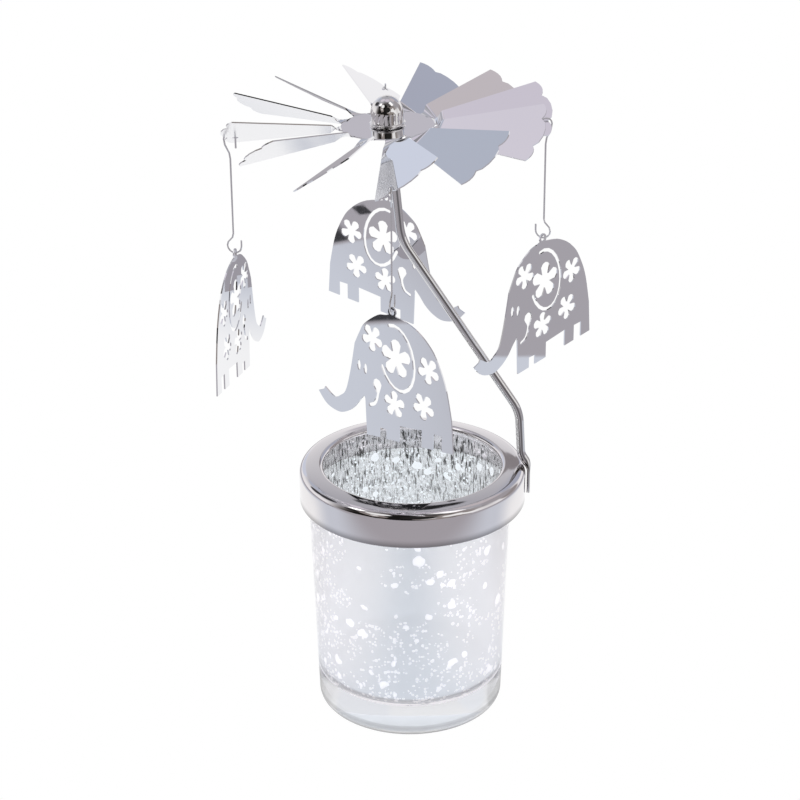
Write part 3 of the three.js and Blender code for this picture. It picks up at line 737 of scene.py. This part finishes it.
film_top = CUP_HEIGHT - FILM_BELOW_RIM
film_corners = [
    (0, CUP_BASE - FILM_DEPTH),
    (cup_outer(CUP_BASE) - CUP_WALL + FILM_DEPTH, CUP_BASE - FILM_DEPTH),
    (cup_outer(film_top) - CUP_WALL + FILM_DEPTH, film_top),
]
film_line = rounded(film_corners, [CUP_FLOOR_FILLET + FILM_DEPTH], FILM_FILLET_STEPS)
verts, faces = turned(spaced(film_line, FILM_STEP), CUP_SIDES)
faces = [face[::-1] for face in faces]
link_mesh("silver_film", verts, faces, silver, "cup")

# %% [markdown]
# The real collar is drawn from one sheet: a skirt, a round shoulder, a top that rises a little
# inwards and an edge that curls down into the opening. A thin surface with a Solidify modifier could
# make it, but the inner bends need smaller radii than the outer ones. So both sides of the sheet are
# drawn in one closed profile and turned.

# %% collar ring
RING_TOP = 67.5 * MM
RING_RADIUS = 29.1 * MM
RING_OPENING = 22.9 * MM
RING_SHEET = 0.7 * MM
RING_SHOULDER = 2.2 * MM
RING_SKIRT = 9.2 * MM
RING_RISE = 0.6 * MM
RING_CURL = 1.2 * MM
RING_SHIFT = 0.75 * MM
CURL_BEND = 1.05 * MM
SKIRT_ROUNDING = 0.25 * MM
RING_STEPS = 10
RING_SIDES = 192


def moved(verts, matrix):
    """Vertices carried by a matrix."""
    return [matrix @ Vector(v) for v in verts]


lip = RING_TOP + RING_RISE
curl_edge = lip - RING_CURL
ring_corners = [
    (RING_OPENING, curl_edge),
    (RING_OPENING + RING_SHEET, curl_edge),
    (RING_OPENING + RING_SHEET, lip - RING_SHEET),
    (RING_RADIUS - RING_SHEET, RING_TOP - RING_SHEET),
    (RING_RADIUS - RING_SHEET, RING_TOP - RING_SKIRT),
    (RING_RADIUS, RING_TOP - RING_SKIRT),
    (RING_RADIUS, RING_TOP),
    (RING_OPENING, lip),
    (RING_OPENING, curl_edge),
]
ring_radii = [
    0,
    CURL_BEND - RING_SHEET,
    RING_SHOULDER - RING_SHEET,
    SKIRT_ROUNDING,
    SKIRT_ROUNDING,
    RING_SHOULDER,
    CURL_BEND,
]
ring_profile = rounded(ring_corners, ring_radii, RING_STEPS)[:-1]
verts, faces = turned(ring_profile, RING_SIDES, closed=True)
verts = moved(verts, Matrix.Translation((RING_SHIFT, 0, 0)))
ring = link_mesh("collar_ring_smooth", verts, faces, collar_steel, "collar")
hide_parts("collar_ring")

# %% [markdown]
# The bearing cap is the small dome in the wheel's middle. A flange holds the wheel from above and a
# foot from below, and a bore takes the mast's point. A squashed sphere could pass for the dome, but
# the flange and the bore show too. One turned profile has them all. It leans with the wheel.

# %% bearing cap
FAN_X = -5 * MM
FAN_RISE = 90.1 * MM
FAN_HEIGHT = RING_TOP + FAN_RISE
# Degrees: the wheel hangs a little low on the left.
FAN_LEAN = 1.9
POINT_RISE = 4.3 * MM
CAP_RADIUS = 4 * MM
CAP_FLANGE_RADIUS = 4.35 * MM
CAP_FOOT_RADIUS = 3.9 * MM
CAP_NECK_RADIUS = 2.9 * MM
CAP_BORE_RADIUS = 2.2 * MM
CAP_BORE_TOP = 3 * MM
CAP_DIMPLE_TOP = 4.6 * MM
# Heights of the flange's two faces over the wheel's middle. The foot mirrors them below.
FLANGE_LOW = 0.45 * MM
FLANGE_HIGH = 0.95 * MM
DOME_FROM = 3.1 * MM
DOME_RISE = 4.3 * MM
DOME_STEPS = 16
CAP_STEPS = 4
CAP_SIDES = 72
# Roundings of the bore's top, the bore's mouth, the plates above and below the wheel, and the wall.
BORE_ROUNDING = 0.3 * MM
MOUTH_ROUNDING = 0.1 * MM
PLATE_ROUNDING = 0.2 * MM
WALL_ROUNDING = 0.1 * MM

wheel_place = (
    Matrix.Translation((FAN_X, 0, FAN_HEIGHT + POINT_RISE))
    @ Matrix.Rotation(math.radians(-FAN_LEAN), 4, "Y")
    @ Matrix.Translation((0, 0, -POINT_RISE))
)
cap_corners = [
    (0, CAP_DIMPLE_TOP),
    (CAP_BORE_RADIUS, CAP_BORE_TOP),
    (CAP_BORE_RADIUS, -FLANGE_HIGH),
    (CAP_FOOT_RADIUS, -FLANGE_HIGH),
    (CAP_FOOT_RADIUS, -FLANGE_LOW),
    (CAP_NECK_RADIUS, -FLANGE_LOW),
    (CAP_NECK_RADIUS, FLANGE_LOW),
    (CAP_FLANGE_RADIUS, FLANGE_LOW),
    (CAP_FLANGE_RADIUS, FLANGE_HIGH),
    (CAP_RADIUS, FLANGE_HIGH),
    (CAP_RADIUS, DOME_FROM),
]
cap_radii = [
    BORE_ROUNDING,
    MOUTH_ROUNDING,
    PLATE_ROUNDING,
    PLATE_ROUNDING,
    0,
    0,
    PLATE_ROUNDING,
    PLATE_ROUNDING,
    WALL_ROUNDING,
]
cap_profile = rounded(cap_corners, cap_radii, CAP_STEPS)
for i in range(1, DOME_STEPS + 1):
    angle = math.pi / 2 * i / DOME_STEPS
    cap_profile.append(Vector((CAP_RADIUS * math.cos(angle), DOME_FROM + DOME_RISE * math.sin(angle))))
verts, faces = turned(cap_profile, CAP_SIDES)
verts = moved(verts, wheel_place)
cap = link_mesh("bearing_cap_smooth", verts, faces, polished_rod, "carousel")
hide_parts("bearing_cap")

# %% [markdown]
# The real mast is one rod: a flattened foot, a bend over the collar's shoulder, an upright, a slant
# and a ground point. A curve object with a bevel could give the round part, but not the flat foot.
# So its middle line is worked out first, with the half thickness and half width at each of its points.

# %% mast line
MAST_STEP = 0.5 * MM
FOOT_THICK = 0.5 * MM
FOOT_GAP = 0.3 * MM
FOOT_DROP = 8.4 * MM
BEND_PULL = 3.4 * MM
BEND_STEPS = 20
UPRIGHT_INSET = 1.3 * MM
# Corners of the upright and the slant: across and up. The lower one is measured from the upright.
LOWER_BEND = (-0.6 * MM, 14.7 * MM)
UPPER_BEND = (-1.8 * MM, 61.2 * MM)
BEND_RADII = [12 * MM, 14 * MM]
BEND_CORNER_STEPS = 14


def bezier(a, b, c, d, steps):
    """Points of a cubic curve after its first one."""
    line = []
    for i in range(1, steps + 1):
        t = i / steps
        s = 1 - t
        line.append(a * s**3 + b * 3 * s * s * t + c * 3 * s * t * t + d * t**3)
    return line


def mast_line():
    """The rod's middle line in the XZ plane, from its foot to its point."""
    foot_x = RING_SHIFT + RING_RADIUS + FOOT_GAP + FOOT_THICK
    upright_x = RING_SHIFT + RING_RADIUS - UPRIGHT_INSET
    bend_from = Vector((foot_x, RING_TOP - RING_SHOULDER))
    bend_to = Vector((upright_x, RING_TOP + 2 * RING_SHOULDER))
    pull = Vector((0, BEND_PULL))
    line = [Vector((foot_x, RING_TOP - FOOT_DROP)), bend_from]
    line += bezier(bend_from, bend_from + pull, bend_to - pull, bend_to, BEND_STEPS)
    lower = Vector((upright_x + LOWER_BEND[0], RING_TOP + LOWER_BEND[1]))
    upper = Vector((UPPER_BEND[0], RING_TOP + UPPER_BEND[1]))
    tip = Vector((FAN_X, FAN_HEIGHT + POINT_RISE))
    line += rounded([bend_to, lower, upper, tip], BEND_RADII, BEND_CORNER_STEPS)[1:]
    return spaced(line, MAST_STEP)


middle_line = mast_line()
print("mast line:", len(middle_line), "points")

# %% mast sizes
MAST_RADIUS = 1.1 * MM
FOOT_WIDE = 2 * MM
# The foot's end is narrowed to this share of its width.
FOOT_END = 0.35
# The flat part turns round between these lengths along the rod.
FLAT_LENGTHS = (6.2 * MM, 9.6 * MM)
POINT_LENGTH = 5.2 * MM
# The share of the rod's thickness that is left at its tip.
POINT_TIP = 0.04


def smoothstep(value, low, high):
    """0 below low, 1 above high, smooth between."""
    t = min(1, max(0, (value - low) / (high - low)))
    return t * t * (3 - 2 * t)


def mast_halves(line):
    """Half thickness and half width of the rod at each point of its line."""
    lengths = [0]
    for a, b in zip(line, line[1:]):
        lengths.append(lengths[-1] + (b - a).length)
    halves = []
    for length in lengths:
        flat = 1 - smoothstep(length, *FLAT_LENGTHS)
        end = FOOT_END + (1 - FOOT_END) * math.sqrt(min(1, length / FOOT_WIDE))
        taper = min(1, (lengths[-1] - length) / POINT_LENGTH + POINT_TIP)
        thick = MAST_RADIUS + (FOOT_THICK - MAST_RADIUS) * flat
        wide = MAST_RADIUS + (FOOT_WIDE * end - MAST_RADIUS) * flat
        halves.append((thick * taper, wide * taper))
    return halves


mast_sizes = mast_halves(middle_line)
print("mast sizes:", len(mast_sizes), "pairs of halves")

# %% [markdown]
# A ring of points is set round each point of the line, square to it. The die lines have to follow
# the rod round its bends. Plain object coordinates would let them run straight on, so each vertex
# keeps its direction from the middle line in an attribute, which the group of die lines reads.

# %% mast
MAST_SIDES = 32
MAST_SHARP_ANGLE = 60


def rod(line, halves, sides):
    """A closed rod along points (x, z) in the plane y = 0. halves holds (half thickness, half width)."""
    verts = []
    for i, (middle, (thick, wide)) in enumerate(zip(line, halves)):
        along = (line[min(i + 1, len(line) - 1)] - line[max(i - 1, 0)]).normalized()
        for j in range(sides):
            angle = 2 * math.pi * j / sides
            aside = thick * math.cos(angle)
            verts.append((middle.x + along.y * aside, wide * math.sin(angle), middle.y - along.x * aside))
    faces = []
    for i in range(len(line) - 1):
        for j in range(sides):
            here = i * sides + j
            on = i * sides + (j + 1) % sides
            faces.append([here, on, on + sides, here + sides])
    faces.append(list(reversed(range(sides))))
    faces.append([(len(line) - 1) * sides + j for j in range(sides)])
    return verts, faces


verts, faces = rod(middle_line, mast_sizes, MAST_SIDES)
mast = link_mesh("mast_smooth", verts, faces, drawn_rod, "collar", MAST_SHARP_ANGLE)
around = mast.data.attributes.new("around", "FLOAT_VECTOR", "POINT")
for i, item in enumerate(around.data):
    angle = 2 * math.pi * (i % MAST_SIDES) / MAST_SIDES
    item.vector = (math.cos(angle), math.sin(angle), 0)
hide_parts("mast")

# %% [markdown]
# The holder stands on plain white. Polished metal needs something to mirror, or it looks like grey
# paint. Real things could be set round it, but they would show in other views. So the floor is white
# to the camera, while metal and glass see a grey table with sheets of paper and small dark things, a
# painted shade under the cup and a painted shadow ring round its foot.

# %% what glass and camera see
WHITE = (1, 1, 1)


def paler_through_glass(tree, at, colour, amount, pale):
    """A colour that turns pale where it is seen through glass. amount and pale are values or sockets."""
    path = add(tree, "ShaderNodeLightPath", (at[0], at[1] - 400)).outputs
    through = times(tree, (at[0], at[1] - 200), path["Is Transmission Ray"], amount)
    return mix_colours(tree, at, through, colour, pale)


def white_to_camera(tree, at, colour):
    """A colour that the camera itself sees as white."""
    path = add(tree, "ShaderNodeLightPath", (at[0], at[1] - 400)).outputs
    return mix_colours(tree, at, path["Is Camera Ray"], colour, WHITE)


print("stage helpers: paler through glass, white to the camera")

# %% sheets on the table
DARK_GREY = (0.05, 0.05, 0.055)
TABLE_GREY = (0.43, 0.41, 0.44)
# Each sheet: its edges across and along in metres, how far they fade, colour.
SHEETS = (
    ((-0.298, 0.257), (-0.03, 0.235), (0.004, 0.1), (0.66, 0.69, 0.76)),
    ((-0.12, 0.12), (0.05, 0.2), (0.08, 0.07), WHITE),
    ((-0.36, -0.305), (-0.06, -0.015), (0.004, 0.006), DARK_GREY),
    ((-0.295, -0.272), (-0.018, 0.004), (0.003, 0.003), DARK_GREY),
    ((-0.342, -0.332), (-0.0835, -0.0785), (0.002, 0.001), DARK_GREY),
)
# Through glass the floor is bluish on the cup's middle plane and white beside it.
BESIDE_EDGES = (0.01, 0.06)
PALE_AMOUNTS = (0.6, 1.0)
PALE_MIDDLE = (0.84, 0.92, 1)
PALE_BESIDE = (1, 0.985, 1)
# Distances from the cup's axis: start and full part of the painted shade, edges of the painted shadow
# ring.
SHADE_EDGES = (30 * MM, 26 * MM)
SHADE_COLOUR = (0.76, 0.76, 0.77)
FOOT_SHADOW_RING_EDGES = (23.6 * MM, 28 * MM)
FOOT_SHADOW_RING_FADE = 0.8 * MM
FOOT_SHADOW_RING_COLOUR = (0.5, 0.505, 0.51)


def rectangle(tree, at, split, x_edges, y_edges, fades):
    """1 inside a rectangle on the floor. fades are how far it fades across and along."""
    across = between(tree, at, split["X"], x_edges, fades[0])
    along = between(tree, at, split["Y"], y_edges, fades[1])
    return times(tree, at, across, along)


def floor_colour(tree, place, split):
    """The grey table and sheets, paler through glass, with painted shade and a painted shadow ring under
    the cup.
    """
    colour = TABLE_GREY
    for i, (x_edges, y_edges, fades, paint) in enumerate(SHEETS):
        inside = rectangle(tree, (-500, -200 * i), split, x_edges, y_edges, fades)
        colour = mix_colours(tree, (-200, -200 * i), inside, colour, paint)
    aside = add(tree, "ShaderNodeMath", (-500, 700), {0: split["X"]}, operation="ABSOLUTE")
    beside = ramp_up(tree, (-300, 700), aside.outputs["Value"], *BESIDE_EDGES)
    amount = spread(tree, (-100, 700), beside, (0.0, 1.0), PALE_AMOUNTS)
    pale = mix_colours(tree, (-100, 500), beside, PALE_MIDDLE, PALE_BESIDE)
    colour = paler_through_glass(tree, (0, 0), colour, amount, pale)
    out = add(tree, "ShaderNodeVectorMath", (-500, 300), {0: place}, operation="LENGTH").outputs["Value"]
    under = ramp_up(tree, (-300, 300), out, *SHADE_EDGES)
    colour = mix_colours(tree, (100, 100), under, colour, SHADE_COLOUR)
    foot = between(tree, (-300, 500), out, FOOT_SHADOW_RING_EDGES, FOOT_SHADOW_RING_FADE)
    return mix_colours(tree, (200, 200), foot, colour, FOOT_SHADOW_RING_COLOUR)


print("table:", len(SHEETS), "sheets")

# %% stage floor
FLOOR_HALF = 3
FLOOR_DROP = 0.2 * MM


def floor_material():
    """White to the camera. Mirrors and glass see sheets of paper on a grey table."""
    material, tree, surface_input = new_material("studio_floor")
    place = own_place(tree, (-1000, 0))
    split = add(tree, "ShaderNodeSeparateXYZ", (-800, 0), {"Vector": place}).outputs
    colour = white_to_camera(tree, (250, 0), floor_colour(tree, place, split))
    glow = add(tree, "ShaderNodeEmission", (300, 0), {"Color": colour, "Strength": 1.0})
    tree.links.new(glow.outputs["Emission"], surface_input)
    return material


floor_corners = [(x * FLOOR_HALF, y * FLOOR_HALF, 0) for x, y in ((-1, -1), (1, -1), (1, 1), (-1, 1))]
floor_mesh = bpy.data.meshes.new("floor")
floor_mesh.from_pydata(floor_corners, [], [[0, 1, 2, 3]])
floor_mesh.materials.append(floor_material())
floor = bpy.data.objects.new("floor", floor_mesh)
floor.location.z = -FLOOR_DROP
scene.collection.objects.link(floor)
print("floor:", 2 * FLOOR_HALF, "metres wide")

# %% [markdown]
# The world works in the same way: white to the camera, a small studio to the mirrors. A photographed
# surrounding could be used, but nothing can be placed in it. Here a white wall lies low behind, grey
# overhead and a dark room with windows on the camera's side. Round cards lie over them, placed by
# direction, so that each makes one known patch on a blade, an elephant or the collar.

# %% cards
NEAR_BLACK = (0.02, 0.02, 0.022)
# Each card: direction, angles of its full and faded edge in degrees, colour. Later ones lie on top.
CARDS = (
    ((0.03, 0.13, 0.99), 11, 15, (0.68, 0.635, 0.715)),
    ((-0.37, 0.27, 0.89), 10, 13, (0.73, 0.69, 0.765)),
    ((0.41, 0.39, 0.82), 11, 15, (0.6, 0.55, 0.57)),
    ((0.42, 0.77, 0.48), 14, 18, (0.43, 0.45, 0.54)),
    ((-0.5, 0.62, 0.61), 9, 12, (0.49, 0.525, 0.615)),
    ((-0.4, 0.88, 0.27), 9, 13, (0.68, 0.72, 0.83)),
    ((0, 0.777, 0.628), 2.6, 3.4, NEAR_BLACK),
    ((-0.055, 0.8, 0.6), 1.4, 2.2, NEAR_BLACK),
    ((0.05, 0.79, 0.61), 1.2, 2, NEAR_BLACK),
    ((-0.79, 0.23, 0.57), 9, 12, DARK_GREY),
    ((-0.78, 0.43, 0.44), 7, 10, DARK_GREY),
    ((-0.77, -0.31, 0.55), 6.5, 8, (0.015, 0.015, 0.017)),
    ((-0.03, 0.952, 0.305), 1.5, 3.2, (0.56, 0.54, 0.59)),
    ((0.9, 0.37, 0.225), 12, 18, (0.33, 0.3, 0.3)),
    ((0.79, 0.23, 0.57), 14, 20, (0.4, 0.38, 0.4)),
    ((0.1, -0.85, 0.5), 15, 19, (0.02, 0.019, 0.018)),
    ((0.17, -0.4, 0.9), 11, 15, (0.1, 0.095, 0.095)),
    ((-0.45, -0.5, 0.74), 9, 12, WHITE),
    ((-0.6, -0.15, 0.785), 6, 9, WHITE),
)
# A row of grey cards makes the dark patch on the collar beside the mast.
PATCH_COLOUR = (0.27, 0.25, 0.26)
PATCH = (
    ((0.03, 0.897, 0.442), 2, 2.8, PATCH_COLOUR),
    ((0.08, 0.897, 0.434), 2, 2.6, PATCH_COLOUR),
    ((0.1315, 0.897, 0.422), 2, 2.6, PATCH_COLOUR),
    ((0.185, 0.897, 0.402), 2, 2.6, PATCH_COLOUR),
    ((0.235, 0.897, 0.375), 2, 2.8, PATCH_COLOUR),
)


def add_card(tree, i, way, colour, card):
    """One round card laid over the colours of the world. i is its row in the tree."""
    centre, full, faded, paint = card
    inputs = {0: way, 1: Vector(centre).normalized()}
    near = add(tree, "ShaderNodeVectorMath", (-600, -300 - 150 * i), inputs, operation="DOT_PRODUCT")
    edges = [math.cos(math.radians(angle)) for angle in (faded, full)]
    inside = ramp_up(tree, (-400, -300 - 150 * i), near.outputs["Value"], *edges)
    return mix_colours(tree, (0, -150 * i), inside, colour, paint)


print("cards:", len(CARDS + PATCH))

# %% stage world
WALL = (0.95, 0.94, 0.95)
CEILING = (0.46, 0.46, 0.5)
CEILING_EDGES = (0.15, 0.65)
ROOM = (0.3, 0.265, 0.25)
ROOM_EDGES = (0.1, -0.55)
ROOM_DARK = (0.012, 0.011, 0.01)
# A noise splits the room into dark parts and windows.
CLUTTER_SCALE = 1.4
CLUTTER_DETAIL = 1.5
DARK_EDGES = (0.5, 0.47)
WINDOW_EDGES = (0.6, 0.62)
WORLD_PALE = 0.6


def studio_colour(tree, way):
    """A bright low wall behind, grey above, a brown dark room in front, and the cards."""
    split = add(tree, "ShaderNodeSeparateXYZ", (-800, 0), {"Vector": way}).outputs
    upward = ramp_up(tree, (-600, 100), split["Z"], *CEILING_EDGES)
    colour = mix_colours(tree, (-400, 200), upward, WALL, CEILING)
    front = ramp_up(tree, (-600, -100), split["Y"], *ROOM_EDGES)
    colour = mix_colours(tree, (-200, 200), front, colour, ROOM)
    clutter = noise(tree, (-1000, 400), way, CLUTTER_SCALE, CLUTTER_DETAIL)
    for row, edges, paint in ((400, DARK_EDGES, ROOM_DARK), (600, WINDOW_EDGES, WHITE)):
        part = times(tree, (-400, row + 100), front, ramp_up(tree, (-800, row), clutter, *edges))
        colour = mix_colours(tree, (-200, row), part, colour, paint)
    for i, card in enumerate(CARDS + PATCH):
        colour = add_card(tree, i, way, colour, card)
    return colour


def studio_world():
    """White to the camera. Mirrors see the studio, and glass sees it paler."""
    world = bpy.data.worlds.new("studio")
    world.use_nodes = True
    tree = world.node_tree
    tree.nodes.clear()
    output = add(tree, "ShaderNodeOutputWorld", (900, 0))
    way = add(tree, "ShaderNodeTexCoord", (-1000, 0)).outputs["Generated"]
    colour = paler_through_glass(tree, (300, 0), studio_colour(tree, way), WORLD_PALE, WHITE)
    colour = white_to_camera(tree, (450, 0), colour)
    sky = add(tree, "ShaderNodeBackground", (600, 0), {"Color": colour, "Strength": 1.0})
    tree.links.new(sky.outputs["Background"], output.inputs["Surface"])
    return world


scene.world = studio_world()
scene.view_settings.view_transform = "Standard"
print("world:", scene.world.name)

# %% [markdown]
# Floor and world give most of the light. More lamps could be added for sparkle, but each one also
# shows as a bright spot on the metal. Three weak ones are enough: a small spot over the mouth that
# makes the silver inside glitter, and two softboxes.

# %% lights
LAMP_HEIGHT = 125 * MM
LAMP_RADIUS = 6 * MM
# Powers in watts, the angle in degrees.
LAMP_POWER = 2.0
LAMP_ANGLE = 36
LAMP_BLEND = 0.3
# Each softbox: name, place, the point it looks at, size and power.
SOFTBOXES = (
    ("softbox_left", (-0.56, -0.16, 0.77), (0, 0, 0.08), (0.16, 0.16), 0.12),
    ("softbox_right", (0.35, -0.2, 0.9), (0, 0, 0.1), (0.25, 0.4), 0.3),
)


def mouth_lamp():
    """A spot over the cup's mouth that looks straight down."""
    data = bpy.data.lights.new("mouth_lamp", "SPOT")
    data.energy = LAMP_POWER
    data.spot_size = math.radians(LAMP_ANGLE)
    data.spot_blend = LAMP_BLEND
    data.shadow_soft_size = LAMP_RADIUS
    lamp = bpy.data.objects.new("mouth_lamp", data)
    lamp.location = (0, 0, LAMP_HEIGHT)
    scene.collection.objects.link(lamp)


def softbox(name, place, target, size, power):
    """A rectangular lamp that looks at a point."""
    data = bpy.data.lights.new(name, "AREA")
    data.shape = "RECTANGLE"
    data.size = size[0]
    data.size_y = size[1]
    data.energy = power
    lamp = bpy.data.objects.new(name, data)
    lamp.location = place
    lamp.rotation_euler = (Vector(target) - Vector(place)).to_track_quat("-Z", "Y").to_euler()
    scene.collection.objects.link(lamp)


mouth_lamp()
for box in SOFTBOXES:
    softbox(*box)
